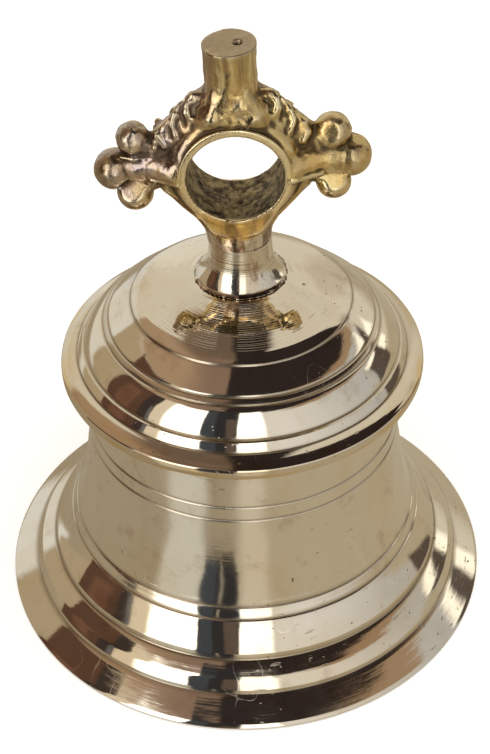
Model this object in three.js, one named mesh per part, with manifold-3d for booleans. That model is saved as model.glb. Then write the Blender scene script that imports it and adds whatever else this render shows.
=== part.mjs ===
// A cast brass bell standing on its lip, with a hanging crown and a swinging clapper.
//
// Millimetres, +Z up. The origin is the centre of the lip's flat rim, so the bell stands on z = 0.
// The hanging ring's hole runs along Y and the crown's two trefoils lie along X.

import * as THREE from "three";
import { mergeVertices } from "three/addons/utils/BufferGeometryUtils.js";
import Module from "manifold-3d";

const wasm = await Module();
wasm.setup();

// ---- Driving dimensions -------------------------------------------------------------------------

const GAP = 0.3;                 // left between faces that touch
const TURNED_SIDES = 48;         // facets round the bell
const SMALL_SIDES = 16;          // facets round rods, nuts and washers

// Bell: lip, sound bow, waist, shoulder, dome
const LIP_RADIUS = 127;
const LIP_INNER_RADIUS = 118.5;
const WAIST_RADIUS = 87.3;       // straight part of the waist, taken down to z = 0
const WAIST_TAPER = 0.0885;      // radius lost per millimetre of height
const FLARE_RADIUS = 60;         // flare added at z = 0
const FLARE_HEIGHT = 21.4;       // height over which the flare falls to 1/e
const FLARE_FOOT = 25.6;         // where the flare ends in the bead above the lip
const WAIST_TOP = 135.4;
const WALL = 5.2;                // wall at the waist
const WAIST_LINES = [41.7, 48, 98.6, 106.5];   // heights of the turned lines
const GROOVE_DEPTH = 0.6;
const GROOVE_HALF = 0.65;
const RIM_RADIUS = 90.4;         // outside of the shoulder's rim
const RIM_FOOT = 136.4;
const DOME_SEAT_RADIUS = 23.4;   // flat on top of the dome, under the neck
const DOME_SEAT_HEIGHT = 188.9;
const DOME_INNER_HEIGHT = 181;   // flat inside the dome, under the washer
const BOLT_HOLE_RADIUS = 6.6;

// Neck and crown
const NECK_RADIUS = 15.1;
const NECK_FOOT_RADIUS = 22.4;
const NECK_TOP = 211.7;
const CROWN_LEAN = 1.7;          // degrees that the crown leans towards -X
const CROWN_OFFSET = -0.4;       // the crown sits this far off the bell's axis, along X
const RING_HEIGHT = 41.4;        // hole centre above the crown's foot
const HOLE_RADIUS = 22.3;
const RING_RADIUS = 26.2;
const RING_DEPTH = 33;
const ARM_DEPTH = 14;
const ARM_TILT = 1.2;            // degrees that the arms tilt beyond the crown's lean
const POST_RADIUS = 11.8;
const POST_TOP = 60.9;           // above the hole's centre
const POST_PIT_RADIUS = 2.5;
const POST_PIT_DEPTH = 3;
// Trefoil balls, as offsets from the hole's centre; the left set mirrors the right one
const TREFOIL = [
  { x: 45.4, z: 13.8, r: 8.5 },
  { x: 54.2, z: -0.9, r: 10.1 },
  { x: 46, z: -14.3, r: 8.6 },
];

// Eyebolt
const BOLT_RADIUS = 6;
const BOLT_TIP = 224;
const EYE_WIRE = 3.6;
const EYE_RADIUS = 10.6;         // to the middle of the wire
const EYE_HEIGHT = 152.8;
const CROWN_WASHER = { radius: 14, thick: 2.2 };
const CROWN_NUT = { flats: 19, thick: 10 };

// Shackle and its pin
const SHACKLE_PIVOT = EYE_HEIGHT - EYE_RADIUS;
const SHACKLE_WIRE = 3;
const SHACKLE_ARCH = EYE_WIRE + 0.4 + SHACKLE_WIRE;
const PIN_HEIGHT = 130;
const PIN_RADIUS = 2.8;
const CHEEK = { radius: 6, inner: 4.3, outer: 10.2 };
const PIN_HEAD = { radius: 5, thick: 2.4 };
const PIN_END = 15.4;
const PIN_WASHER = { radius: 5.2, thick: 1 };
const COTTER = { y: 13.2, wire: 0.8, loop: 2.2, hole: 1.1 };

// Clapper
const ROD_RADIUS = 3.8;
const ROD_EYE_RADIUS = 7;
const ROD_END = 2.4;
const ROD_COLLAR = { radius: 7, thick: 4 };
const BALL_RADIUS = 22;
const BALL_HEIGHT = 30.5;
const BALL_FLAT = 7.5;           // radius of the flats where the collar and washer bear
const BALL_WASHER = { radius: 7, thick: 1 };
const BALL_NUT = { flats: 11, thick: 4 };

// ---- Materials ----------------------------------------------------------------------------------

const metal = (color, roughness) => new THREE.MeshStandardMaterial({ color, roughness, metalness: 1 });
const bellMetal = metal(0xcfc4a6, 0.15);
const paleMetal = metal(0xc4b79a, 0.3);
const yellowBrass = metal(0xc9a24e, 0.35);
const steel = metal(0x8a8a88, 0.4);
const darkIron = metal(0x4a4643, 0.6);

// ---- Helpers ------------------------------------------------------------------------------------

// A closed geometry as a manifold solid.
function solid(geometry) {
  const bare = geometry.clone();
  bare.deleteAttribute("normal");
  bare.deleteAttribute("uv");
  const merged = mergeVertices(bare, 1e-4);
  return new wasm.Manifold(new wasm.Mesh({
    numProp: 3,
    vertProperties: new Float32Array(merged.attributes.position.array),
    triVerts: new Uint32Array(merged.index.array),
  }));
}

// A manifold solid as a geometry.
function geometryOf(body) {
  const mesh = body.getMesh();
  const geometry = new THREE.BufferGeometry();
  geometry.setAttribute("position", new THREE.BufferAttribute(new Float32Array(mesh.vertProperties), 3));
  geometry.setIndex(new THREE.BufferAttribute(new Uint32Array(mesh.triVerts), 1));
  geometry.computeVertexNormals();
  return geometry;
}

function join(...geometries) {
  return geometryOf(geometries.map(solid).reduce((all, next) => all.add(next)));
}

function cut(geometry, ...cutters) {
  return geometryOf(cutters.map(solid).reduce((all, next) => all.subtract(next), solid(geometry)));
}

// A solid of revolution about Z from [radius, height] points running round its section.
function turned(points, sides = SMALL_SIDES) {
  const geometry = new THREE.LatheGeometry(points.map(([r, z]) => new THREE.Vector2(r, z)), sides);
  return geometry.rotateX(Math.PI / 2);
}

// A section closed on itself, for a ring-shaped solid of revolution.
function turnedRing(points, sides = SMALL_SIDES) {
  return turned([...points, points[0]], sides);
}

function disc(radius, bottom, top, sides = SMALL_SIDES) {
  const geometry = new THREE.CylinderGeometry(radius, radius, top - bottom, sides);
  return geometry.rotateX(Math.PI / 2).translate(0, 0, (bottom + top) / 2);
}

// A round bar along Y from one y to another, centred on (x, z).
function barY(radius, from, to, x, z, sides = SMALL_SIDES) {
  return new THREE.CylinderGeometry(radius, radius, to - from, sides).translate(x, (from + to) / 2, z);
}

function washer(inner, outer, bottom, thick) {
  const top = bottom + thick;
  return turnedRing([[inner, bottom], [outer, bottom], [outer, top], [inner, top]]);
}

function hexNut(bore, flats, bottom, thick) {
  const blank = disc(flats / Math.sqrt(3), bottom, bottom + thick, 6);
  return cut(blank, disc(bore, bottom - 1, bottom + thick + 1));
}

// Points of a quadratic curve, without its first point.
function curve(start, control, end, steps) {
  const bend = new THREE.QuadraticBezierCurve(
    new THREE.Vector2(...start), new THREE.Vector2(...control), new THREE.Vector2(...end));
  return bend.getPoints(steps).slice(1).map((p) => [p.x, p.y]);
}

// Points of a circular arc in a section, angles in degrees from straight out.
function arc(centreR, centreZ, radius, from, to, steps) {
  return Array.from({ length: steps + 1 }, (_, i) => {
    const angle = THREE.MathUtils.degToRad(from + (to - from) * i / steps);
    return [centreR + radius * Math.cos(angle), centreZ + radius * Math.sin(angle)];
  });
}

// ---- Bell ---------------------------------------------------------------------------------------

function waistRadius(z) {
  return WAIST_RADIUS - WAIST_TAPER * z + FLARE_RADIUS * Math.exp(-z / FLARE_HEIGHT);
}

// The waist from the flare's foot to the shoulder, with its turned lines.
function waistOutline() {
  const smooth = [FLARE_FOOT, 33, 60, 78, WAIST_TOP].map((z) => [waistRadius(z), z]);
  const lines = WAIST_LINES.flatMap((z) => [
    [waistRadius(z - GROOVE_HALF), z - GROOVE_HALF],
    [waistRadius(z) - GROOVE_DEPTH, z],
    [waistRadius(z + GROOVE_HALF), z + GROOVE_HALF],
  ]);
  return [...smooth, ...lines].sort((a, b) => a[1] - b[1]);
}

function bellShell() {
  const lip = [
    [LIP_INNER_RADIUS, 0], [LIP_RADIUS - 0.4, 0], [LIP_RADIUS, 0.4], [LIP_RADIUS, 0.9],
    [LIP_RADIUS - 0.5, 1.5],
  ];
  const soundBow = [
    [114.8, 10.8], [113.7, 11.4],                  // lip band up to its step
    [113.3, 13.4], [111.1, 17], [110, 18.4],       // lower side of the bead
    [103.6, 23.6], [103.2, 24.1],                  // top of the bead, then the step under the flare
  ];
  const rimInner = RIM_RADIUS - 7.6;
  const shoulder = [
    [rimInner - 0.8, RIM_FOOT - 0.2], [RIM_RADIUS - 1.2, RIM_FOOT], [RIM_RADIUS - 0.1, RIM_FOOT + 1],
    [RIM_RADIUS, RIM_FOOT + 4.6], [RIM_RADIUS - 0.8, RIM_FOOT + 5.6],
    [rimInner, RIM_FOOT + 9.1], [rimInner - 0.9, RIM_FOOT + 8.9],   // groove above the rim
    [82.1, 145.9], [79.5, 149.9],                  // second bead
    [77.7, 150.1],                                 // groove between second bead and dome
  ];
  const dome = [
    [78, 150.9], ...curve([78, 150.9], [74.7, 157.7], [69.2, 162.4], 3),
    [68.2, 162.5], [68.2, 163.3],                    // lower pair of dome lines
    [66.4, 164.8], [65.5, 164.9], [65.4, 165.8],
    ...curve([65.4, 165.8], [61.2, 169.8], [54.5, 175], 3),
    [54.1, 175.8],                                 // step up to the dome's cap
    ...curve([54.1, 175.8], [39.5, 184], [DOME_SEAT_RADIUS, DOME_SEAT_HEIGHT], 3),
    [BOLT_HOLE_RADIUS, DOME_SEAT_HEIGHT],
  ];
  const inside = [
    [BOLT_HOLE_RADIUS, DOME_INNER_HEIGHT], [19, DOME_INNER_HEIGHT],
    ...curve([19, DOME_INNER_HEIGHT], [37, 177], [51, 168.6], 2),
    ...curve([51, 168.6], [70, 157], [71.2, 134], 3),
    ...[86, 56, 40].map((z) => [waistRadius(z) - WALL, z]),
    [97.6, 21.5], [109.4, 8.2],
  ];
  const section = [...lip, ...soundBow, ...waistOutline(), ...shoulder, ...dome, ...inside];
  return turnedRing(section, TURNED_SIDES);
}

function neckCollar() {
  const foot = DOME_SEAT_HEIGHT + GAP;
  return turnedRing([
    [BOLT_HOLE_RADIUS, foot], [NECK_FOOT_RADIUS - 0.5, foot], [NECK_FOOT_RADIUS, foot + 0.6],
    ...curve([NECK_FOOT_RADIUS, foot + 0.6], [17, 194.2], [NECK_RADIUS + 0.4, 201.5], 5),
    [NECK_RADIUS, NECK_TOP], [BOLT_HOLE_RADIUS, NECK_TOP],
  ], 28);
}

// ---- Crown --------------------------------------------------------------------------------------

// A plate across the crown, drawn in X and Z about the hole's centre and centred on y = 0.
function plate(points, depth) {
  const shape = new THREE.Shape(points.map(([x, z]) => new THREE.Vector2(x, z)));
  const geometry = new THREE.ExtrudeGeometry(shape, { depth, bevelEnabled: false });
  return geometry.rotateX(Math.PI / 2).translate(0, depth / 2, 0);
}

function mirrored(points) {
  return [...points, ...[...points].reverse().map(([x, z]) => [-x, z])];
}

function crownCasting() {
  const foot = -RING_HEIGHT;
  const ring = barY(RING_RADIUS, -RING_DEPTH / 2, RING_DEPTH / 2, 0, 0, 32);
  // body outline: foot, cheeks of the ring, arms out to the trefoils, leaves up to the post
  const body = plate(mirrored([
    [14.2, foot - 1], [15.6, -35], [19.8, -27.4], [25.6, -22], [31, -15], [35.2, -12],
    [40, -13], [48, -4], [48, 4], [40, 15], [36.5, 14], [29.8, 21.3],
    [24, 27.3], [22.3, 28.6], [20.8, 32], [17.3, 34], [11.5, 35.4],
  ]), ARM_DEPTH);
  const neck = turned([
    [0, foot - 1], [NECK_RADIUS + 0.2, foot - 1], [NECK_RADIUS + 0.4, foot + 4],
    [16.4, -31], [16.4, -24], [0, -24],
  ], 24);
  const post = turned([
    [0, 20], [14.6, 20], [12.8, 34], [POST_RADIUS, 43], [POST_RADIUS, 55],
    [POST_RADIUS + 0.4, POST_TOP - 1.5], [POST_RADIUS + 0.3, POST_TOP], [POST_PIT_RADIUS, POST_TOP],
    [0, POST_TOP - POST_PIT_DEPTH],
  ], 24);
  const balls = [-1, 1].flatMap((side) => TREFOIL.map(({ x, z, r }) =>
    new THREE.SphereGeometry(r, 12, 8).rotateX(Math.PI / 2).translate(side * x, 0, z)));
  for (const arm of [body, ...balls]) arm.rotateY(THREE.MathUtils.degToRad(-ARM_TILT));
  const blank = join(ring, body, neck, post, ...balls);
  const holed = cut(blank, barY(HOLE_RADIUS, -RING_DEPTH, RING_DEPTH, 0, 0, 32));
  // lean the crown about its foot, then square the foot and bore it for the eyebolt
  holed.translate(0, 0, RING_HEIGHT + GAP).rotateY(THREE.MathUtils.degToRad(-CROWN_LEAN));
  holed.translate(CROWN_OFFSET, 0, 0);
  const boreDepth = BOLT_TIP + GAP - NECK_TOP;
  const squareFoot = new THREE.BoxGeometry(60, 60, 20).translate(0, 0, GAP - 10);
  return cut(holed, squareFoot, disc(BOLT_RADIUS + GAP, -5, boreDepth)).translate(0, 0, NECK_TOP);
}

// ---- Clapper hanger -----------------------------------------------------------------------------

function clapperEyebolt() {
  const eye = new THREE.TorusGeometry(EYE_RADIUS, EYE_WIRE, 8, 20).rotateX(Math.PI / 2);
  eye.translate(0, 0, EYE_HEIGHT);
  const shankFoot = EYE_HEIGHT + EYE_RADIUS;
  return join(eye, turned([
    [0, shankFoot], [EYE_WIRE, shankFoot], [BOLT_RADIUS, shankFoot + 3.2],
    [BOLT_RADIUS, BOLT_TIP - 1.5], [BOLT_RADIUS - 1.5, BOLT_TIP], [0, BOLT_TIP],
  ]));
}

function clapperShackle() {
  // the bow: down one leg, round the eye's wire and down the other leg
  const path = new THREE.CurvePath();
  const start = new THREE.Vector3(0, -SHACKLE_ARCH, PIN_HEIGHT);
  const left = new THREE.Vector3(0, -SHACKLE_ARCH, SHACKLE_PIVOT);
  path.add(new THREE.LineCurve3(start, left));
  const bow = new THREE.CatmullRomCurve3(Array.from({ length: 13 }, (_, i) => {
    const angle = Math.PI * (1 - i / 12);
    return new THREE.Vector3(
      0, SHACKLE_ARCH * Math.cos(angle), SHACKLE_PIVOT + SHACKLE_ARCH * Math.sin(angle));
  }));
  path.add(bow);
  path.add(new THREE.LineCurve3(
    new THREE.Vector3(0, SHACKLE_ARCH, SHACKLE_PIVOT), new THREE.Vector3(0, SHACKLE_ARCH, PIN_HEIGHT)));
  const wire = new THREE.Shape();
  wire.absarc(0, 0, SHACKLE_WIRE, 0, 2 * Math.PI);
  const bar = new THREE.ExtrudeGeometry(wire, { extrudePath: path, steps: 20, curveSegments: 5 });
  const cheek = (side) => barY(CHEEK.radius, Math.min(side * CHEEK.inner, side * CHEEK.outer),
    Math.max(side * CHEEK.inner, side * CHEEK.outer), 0, PIN_HEIGHT);
  const room = barY(ROD_EYE_RADIUS + 1, -CHEEK.inner, CHEEK.inner, 0, PIN_HEIGHT);
  const blank = cut(join(bar, cheek(-1), cheek(1)), room);
  return cut(blank, barY(PIN_RADIUS + GAP, -20, 20, 0, PIN_HEIGHT));
}

function shacklePin() {
  const headFoot = -CHEEK.outer - GAP;
  const pin = join(
    barY(PIN_RADIUS, headFoot - 1, PIN_END, 0, PIN_HEIGHT),
    barY(PIN_HEAD.radius, headFoot - PIN_HEAD.thick, headFoot, 0, PIN_HEIGHT));
  return cut(pin, disc(COTTER.hole, -10, 10, 12).translate(0, COTTER.y, PIN_HEIGHT));
}

function pinWasher() {
  const from = CHEEK.outer + GAP;
  const plain = barY(PIN_WASHER.radius, from, from + PIN_WASHER.thick, 0, PIN_HEIGHT);
  return cut(plain, barY(PIN_RADIUS + GAP, 0, 20, 0, PIN_HEIGHT));
}

function pinCotter() {
  const reach = PIN_RADIUS + 2;
  const loop = new THREE.TorusGeometry(COTTER.loop, COTTER.wire, 6, 12);
  loop.rotateX(Math.PI / 2).translate(0, 0, reach + COTTER.loop);
  return join(loop, disc(COTTER.wire, -reach - 1.5, reach + 0.4, 10)).translate(0, COTTER.y, PIN_HEIGHT);
}

// ---- Clapper ------------------------------------------------------------------------------------

const BALL_HALF = Math.sqrt(BALL_RADIUS ** 2 - BALL_FLAT ** 2);

function clapperRod() {
  const collarFoot = BALL_HEIGHT + BALL_HALF + GAP;
  const collarTop = collarFoot + ROD_COLLAR.thick;
  const rod = turned([
    [0, ROD_END], [ROD_RADIUS - 0.8, ROD_END], [ROD_RADIUS, ROD_END + 0.8], [ROD_RADIUS, collarFoot],
    [ROD_COLLAR.radius, collarFoot], [ROD_COLLAR.radius, collarTop - 1.5], [ROD_RADIUS, collarTop],
    [ROD_RADIUS, PIN_HEIGHT], [0, PIN_HEIGHT],
  ]);
  const eye = barY(ROD_EYE_RADIUS, -ROD_RADIUS, ROD_RADIUS, 0, PIN_HEIGHT);
  return cut(join(rod, eye), barY(PIN_RADIUS + GAP, -20, 20, 0, PIN_HEIGHT));
}

function clapperBall() {
  const bore = ROD_RADIUS + GAP;
  const tilt = THREE.MathUtils.radToDeg(Math.asin(BALL_HALF / BALL_RADIUS));
  const round = arc(0, BALL_HEIGHT, BALL_RADIUS, -tilt, tilt, 8);
  return turnedRing([[bore, BALL_HEIGHT - BALL_HALF], ...round, [bore, BALL_HEIGHT + BALL_HALF]], 20);
}

const BALL_WASHER_FOOT = BALL_HEIGHT - BALL_HALF - GAP - BALL_WASHER.thick;
const ballWasher = () => washer(ROD_RADIUS + GAP, BALL_WASHER.radius, BALL_WASHER_FOOT, BALL_WASHER.thick);
const ballNut = () => hexNut(
  ROD_RADIUS + GAP, BALL_NUT.flats, BALL_WASHER_FOOT - GAP - BALL_NUT.thick, BALL_NUT.thick);

// ---- Assembly -----------------------------------------------------------------------------------

const CROWN_WASHER_FOOT = DOME_INNER_HEIGHT - GAP - CROWN_WASHER.thick;
const crownWasher = () => washer(
  BOLT_RADIUS + GAP, CROWN_WASHER.radius, CROWN_WASHER_FOOT, CROWN_WASHER.thick);
const crownNut = () => hexNut(
  BOLT_RADIUS + GAP, CROWN_NUT.flats, CROWN_WASHER_FOOT - GAP - CROWN_NUT.thick, CROWN_NUT.thick);

const group = new THREE.Group();
const pieces = [
  ["bell_shell", bellShell(), bellMetal],
  ["neck_collar", neckCollar(), paleMetal],
  ["crown_casting", crownCasting(), yellowBrass],
  ["clapper_eyebolt", clapperEyebolt(), steel],
  ["crown_washer", crownWasher(), steel],
  ["crown_nut", crownNut(), steel],
  ["clapper_shackle", clapperShackle(), darkIron],
  ["shackle_pin", shacklePin(), steel],
  ["pin_washer", pinWasher(), steel],
  ["pin_cotter", pinCotter(), steel],
  ["clapper_rod", clapperRod(), darkIron],
  ["clapper_ball", clapperBall(), yellowBrass],
  ["ball_washer", ballWasher(), steel],
  ["ball_nut", ballNut(), steel],
];
for (const [name, geometry, material] of pieces) {
  const mesh = new THREE.Mesh(geometry, material);
  mesh.name = name;
  group.add(mesh);
}

export default group;
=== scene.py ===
"""Looks of a cast brass hanging bell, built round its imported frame.

The shape code works in millimetres, in the frame's own axes: +Z up the bell's axis, the origin at the
centre of the lip. A mesh is turned into metres when it is made.
"""

import math
import random

import bpy
import numpy as np
from mathutils import Matrix


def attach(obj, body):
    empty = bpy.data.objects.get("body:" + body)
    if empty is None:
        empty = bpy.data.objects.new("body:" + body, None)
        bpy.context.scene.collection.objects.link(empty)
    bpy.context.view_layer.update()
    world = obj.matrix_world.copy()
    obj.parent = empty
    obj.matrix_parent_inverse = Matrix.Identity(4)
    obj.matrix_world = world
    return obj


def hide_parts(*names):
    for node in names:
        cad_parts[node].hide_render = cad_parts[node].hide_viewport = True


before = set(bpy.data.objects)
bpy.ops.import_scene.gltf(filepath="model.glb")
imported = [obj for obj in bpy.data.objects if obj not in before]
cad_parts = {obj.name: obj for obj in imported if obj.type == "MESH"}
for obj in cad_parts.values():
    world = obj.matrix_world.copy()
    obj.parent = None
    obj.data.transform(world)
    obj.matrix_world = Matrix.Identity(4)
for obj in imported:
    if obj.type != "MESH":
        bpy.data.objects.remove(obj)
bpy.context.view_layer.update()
MM = 0.001
GAP = 0.3                      # left between faces that touch


def new_object(name, data):
    made = bpy.data.objects.new(name, data)
    bpy.context.scene.collection.objects.link(made)
    return made


# ---- Camera ----

def make_camera():
    data = bpy.data.cameras.new("camera")
    data.lens = 82.27
    data.clip_start = 0.02
    camera = new_object("camera", data)
    look_down = math.radians(40.40)
    turn = Matrix.Rotation(math.radians(-0.10), 4, "Z")
    tilt = Matrix.Rotation(math.pi / 2 - look_down, 4, "X")
    roll = Matrix.Rotation(math.radians(-0.996), 4, "Z")
    camera.matrix_world = Matrix.Translation((0, -0.6663, 0.6895)) @ turn @ tilt @ roll
    bpy.context.scene.camera = camera
    bpy.context.scene.view_settings.view_transform = "Standard"


# ---- Node helpers ----

class Wire:
    """An output of a shader node. Arithmetic on it adds Math nodes to its tree."""

    def __init__(self, socket):
        self.socket = socket
        self.tree = socket.id_data

    def __add__(self, other):
        return calc("ADD", self, other)

    def __radd__(self, other):
        return calc("ADD", other, self)

    def __sub__(self, other):
        return calc("SUBTRACT", self, other)

    def __rsub__(self, other):
        return calc("SUBTRACT", other, self)

    def __mul__(self, other):
        return calc("MULTIPLY", self, other)

    def __truediv__(self, other):
        return calc("DIVIDE", self, other)


def feed(value, socket):
    """Links a wire to a socket, or sets the socket's own value. A colour may leave out its alpha."""
    if isinstance(value, Wire):
        value.tree.links.new(value.socket, socket)
    elif socket.type == "RGBA":
        socket.default_value = (*value, 1.0)
    else:
        socket.default_value = value


def add_node(tree, kind, inputs=None, **settings):
    """Adds a shader node, with its settings and its inputs by name or number."""
    node = tree.nodes.new("ShaderNode" + kind)
    for name, value in settings.items():
        setattr(node, name, value)
    for key, value in (inputs or {}).items():
        feed(value, node.inputs[key])
    return node


def put(tree, kind, inputs=None, output=0, **settings):
    return Wire(add_node(tree, kind, inputs, **settings).outputs[output])


def calc(operation, first, second=0.0):
    tree = (first if isinstance(first, Wire) else second).tree
    return put(tree, "Math", {0: first, 1: second}, operation=operation)


def ease(value, low, high, to_low=0.0, to_high=1.0):
    """Smooth step of a value from low to high."""
    inputs = {"Value": value, "From Min": low, "From Max": high, "To Min": to_low, "To Max": to_high}
    return put(value.tree, "MapRange", inputs, interpolation_type="SMOOTHSTEP")


def between(value, low, high, soft):
    """1 where a value lies between low and high, falling to 0 over soft at each end."""
    return ease(value, low - soft / 2, low + soft / 2) * ease(value, high + soft / 2, high - soft / 2)


def blend(factor, first, second):
    return put(factor.tree, "Mix", {0: factor, 6: first, 7: second}, 2, data_type="RGBA")


def join(x, y, z):
    return put(x.tree, "CombineXYZ", {0: x, 1: y, 2: z})


def split(place):
    return [Wire(part) for part in add_node(place.tree, "SeparateXYZ", {0: place}).outputs]


def speckle(place, scale, detail=3.0, rough=0.55, warp=0.0):
    inputs = {"Vector": place, "Scale": scale, "Detail": detail, "Roughness": rough, "Distortion": warp}
    return put(place.tree, "TexNoise", inputs, "Fac")


def bands(along, scale, detail):
    """Noise that changes along one number only, so it makes rings on a turned piece."""
    inputs = {"W": along, "Scale": scale, "Detail": detail}
    return put(along.tree, "TexNoise", inputs, "Fac", noise_dimensions="1D")


def relief(height, depth_mm, under=None):
    """Bump of a height running from 0 to 1, as deep as depth_mm."""
    inputs = {"Height": height, "Distance": depth_mm * MM, "Strength": 1.0}
    if under is not None:
        inputs["Normal"] = under
    return put(height.tree, "Bump", inputs)


def attribute(shader, name):
    return put(shader.id_data, "Attribute", output="Fac", attribute_name=name)


def new_metal(name):
    """A metal, which is its material and its slot, with its shader and the place on the piece."""
    material = bpy.data.materials.new(name)
    material.use_nodes = True
    tree = material.node_tree
    tree.nodes.clear()
    shader = add_node(tree, "BsdfPrincipled", {"Metallic": 1.0})
    add_node(tree, "OutputMaterial", {0: Wire(shader.outputs[0])})
    return (material, name), shader, put(tree, "TexCoord", output="Object")


def finish(shader, tone, roughness, normal):
    feed(tone, shader.inputs["Base Color"])
    feed(roughness, shader.inputs["Roughness"])
    feed(normal, shader.inputs["Normal"])


# ---- Surroundings that the metal reflects ----

# Panels of the room: the compass angle from the camera's side towards +X and the height angle over
# the horizon, both in degrees, the softness of the edge, and the panel's light.
ROOM_PANELS = [
    # from, to, low, high, soft, light
    (-205, -121, -12, 49, 5, (0.75, 0.745, 0.71)),  # pale wall, back left
    (-124, -62, -8, 48.5, 3, (0.43, 0.35, 0.235)),  # beige wall, left
    (-66, -46, -10, 48.5, 4, (0.76, 0.66, 0.51)),  # window reveal
    (-54, -27, -9, 48.3, 4, (2.4, 2.35, 2.25)),  # window
    (-54, -27, -40, -8, 7, (0.62, 0.60, 0.53)),  # its light on the floor
    (-4, 13, -42, -7, 8, (0.62, 0.56, 0.45)),  # second window's light there
    (-99, -73, -10, 48.6, 1.2, (0.105, 0.056, 0.036)),  # brown door
    (-92, -80, -3, 40, 4, (0.165, 0.082, 0.052)),  # light on the door
    (-74, -65, -10, 48.6, 1.5, (0.048, 0.036, 0.032)),  # its dark edge
    (-68, -65.5, -10, 30, 1.5, (0.14, 0.135, 0.14)),  # grey light on that
    (-5, 14, -6, 49.5, 2.5, (1.7, 1.68, 1.6)),  # second window
    (-28, -4, -8, 52, 1.2, (0.032, 0.030, 0.032)),  # dark standing shape that the front mirrors
    (-26.4, -6.2, -28, -7, 1.2, (0.032, 0.030, 0.032)),  # its lower part
    (-27, -19, -28, 50, 2, (0.055, 0.062, 0.075)),  # its bluish left side
    (-12, -5, 4, 40, 2, (0.115, 0.085, 0.070)),  # its brownish right side
    (-16.6, -15.4, -27, 2, 0.8, (0.36, 0.31, 0.25)),  # lighter gap in its lower part
    (102, 122, -6, 20, 3, (0.105, 0.085, 0.070)),  # dark cabinet, right
    (101, 117, 18, 23, 3, (1.3, 1.25, 1.1)),  # light along its top
    (121, 128, 4, 14, 3, (1.3, 1.25, 1.1)),  # bright gap beside it
    (146, 163, -2, 70, 6, (0.58, 0.52, 0.42)),  # panels of the wall behind
    (-176, -160, -2, 66, 6, (0.78, 0.74, 0.65)),
]


def make_room():
    world = bpy.data.worlds.new("room")
    bpy.context.scene.world = world
    world.use_nodes = True
    tree = world.node_tree
    tree.nodes.clear()
    x, y, z = split(put(tree, "TexCoord", output="Generated"))
    turn = calc("ARCTAN2", x, y * -1.0) * math.degrees(1)
    height = calc("ARCSINE", z) * math.degrees(1)

    floor = blend(ease(turn, -40, 30), (0.37, 0.31, 0.22), (0.465, 0.405, 0.295))
    wall = blend(ease(turn, 20, 100), (0.78, 0.755, 0.71), (0.50, 0.49, 0.48))
    back = (0.69, 0.64, 0.54)
    wall = blend(ease(turn, 112, 126), wall, back)
    wall = blend(ease(turn, -128, -150), wall, back)
    # the floor ends nearer in front than at the sides
    over_floor = height - ease(calc("ABSOLUTE", turn), 50, 130, -8.0, 0.0)
    off_floor = ease(over_floor, -5, 5)
    seen = blend(off_floor, floor, wall)

    # the ceiling starts higher in the middle of the front than at its ends, over a tan frieze
    over_wall = height + turn * turn * 0.00155
    seen = blend(ease(over_wall, 44.2, 45.4) * ease(turn, 24, 50), seen, (0.36, 0.25, 0.16))
    dark = (0.030, 0.021, 0.020)
    left = blend(ease(height, 52, 66), (0.40, 0.28, 0.18), (0.18, 0.125, 0.088))
    middle = blend(ease(turn, -70, -30), left, (0.25, 0.17, 0.125))
    ceiling = blend(ease(turn, -17, -13.5), middle, dark)
    # overhead, the ceiling's two halves meet along a line and end at the pale wall behind
    run_x = x / calc("MAXIMUM", z, 0.05)
    run_y = y / calc("MAXIMUM", z, 0.05)
    overhead = blend(ease(run_x, -0.10, -0.04), (0.155, 0.112, 0.080), dark)
    ceiling = blend(ease(height, 66, 76), ceiling, overhead)
    seen = blend(ease(over_wall, 47.5, 49.5), seen, ceiling)
    raised = ease(height, 16, 34)
    right_end = ease(run_y - run_x * 0.6, -0.17, -0.13) * ease(run_x, 0.17, 0.24)
    seen = blend(right_end * raised, seen, back)
    left_end = ease(run_y + run_x * 0.95, -0.20, -0.10) * ease(run_x, -0.40, -0.48)
    seen = blend(left_end * raised, seen, back)
    behind = calc("MAXIMUM", ease(turn, 118, 126), ease(turn, -126, -134))
    seen = blend(behind * ((1.0 - raised) * off_floor), seen, back)
    seen = blend(ease(y, 0.48, 0.56), seen, blend(off_floor, floor, back))

    for start, end, low, high, soft, light in ROOM_PANELS:
        top = over_wall if high > 25 else height
        across = between(turn, start, end, soft)
        upright = ease(height, low - soft / 2, low + soft / 2) * ease(top, high + soft / 2, high - soft / 2)
        seen = blend(across * upright, seen, light)

    room = put(tree, "Background", {"Color": seen, "Strength": 1.0})
    studio = put(tree, "Background", {"Color": (1, 1, 1), "Strength": 1.0})
    camera_ray = put(tree, "LightPath", output="Is Camera Ray")
    either = put(tree, "MixShader", {0: camera_ray, 1: room, 2: studio})
    add_node(tree, "OutputWorld", {0: either})


def make_floor_and_light():
    half = 30.0
    mesh = bpy.data.meshes.new("floor")
    corners = [(-half, -half, 0), (half, -half, 0), (half, half, 0), (-half, half, 0)]
    mesh.from_pydata(corners, [], [(0, 1, 2, 3)])
    floor = new_object("floor", mesh)
    floor.location.z = -0.0006
    material = bpy.data.materials.new("floor")
    material.use_nodes = True
    shader = material.node_tree.nodes["Principled BSDF"]
    looks = {"Base Color": (0.93, 0.93, 0.92), "Roughness": 0.9,
             "Emission Color": (1, 1, 1), "Emission Strength": 0.30}
    for name, value in looks.items():
        feed(value, shader.inputs[name])
    mesh.materials.append(material)
    floor.visible_glossy = False

    lamp = bpy.data.lights.new("soft_box", "AREA")
    lamp.shape = "DISK"
    lamp.size = 2.6
    lamp.energy = 38.0
    box = new_object("soft_box", lamp)
    box.location = (0.3, -0.4, 2.4)
    box.visible_glossy = False


# ---- Outlines ----

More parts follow.
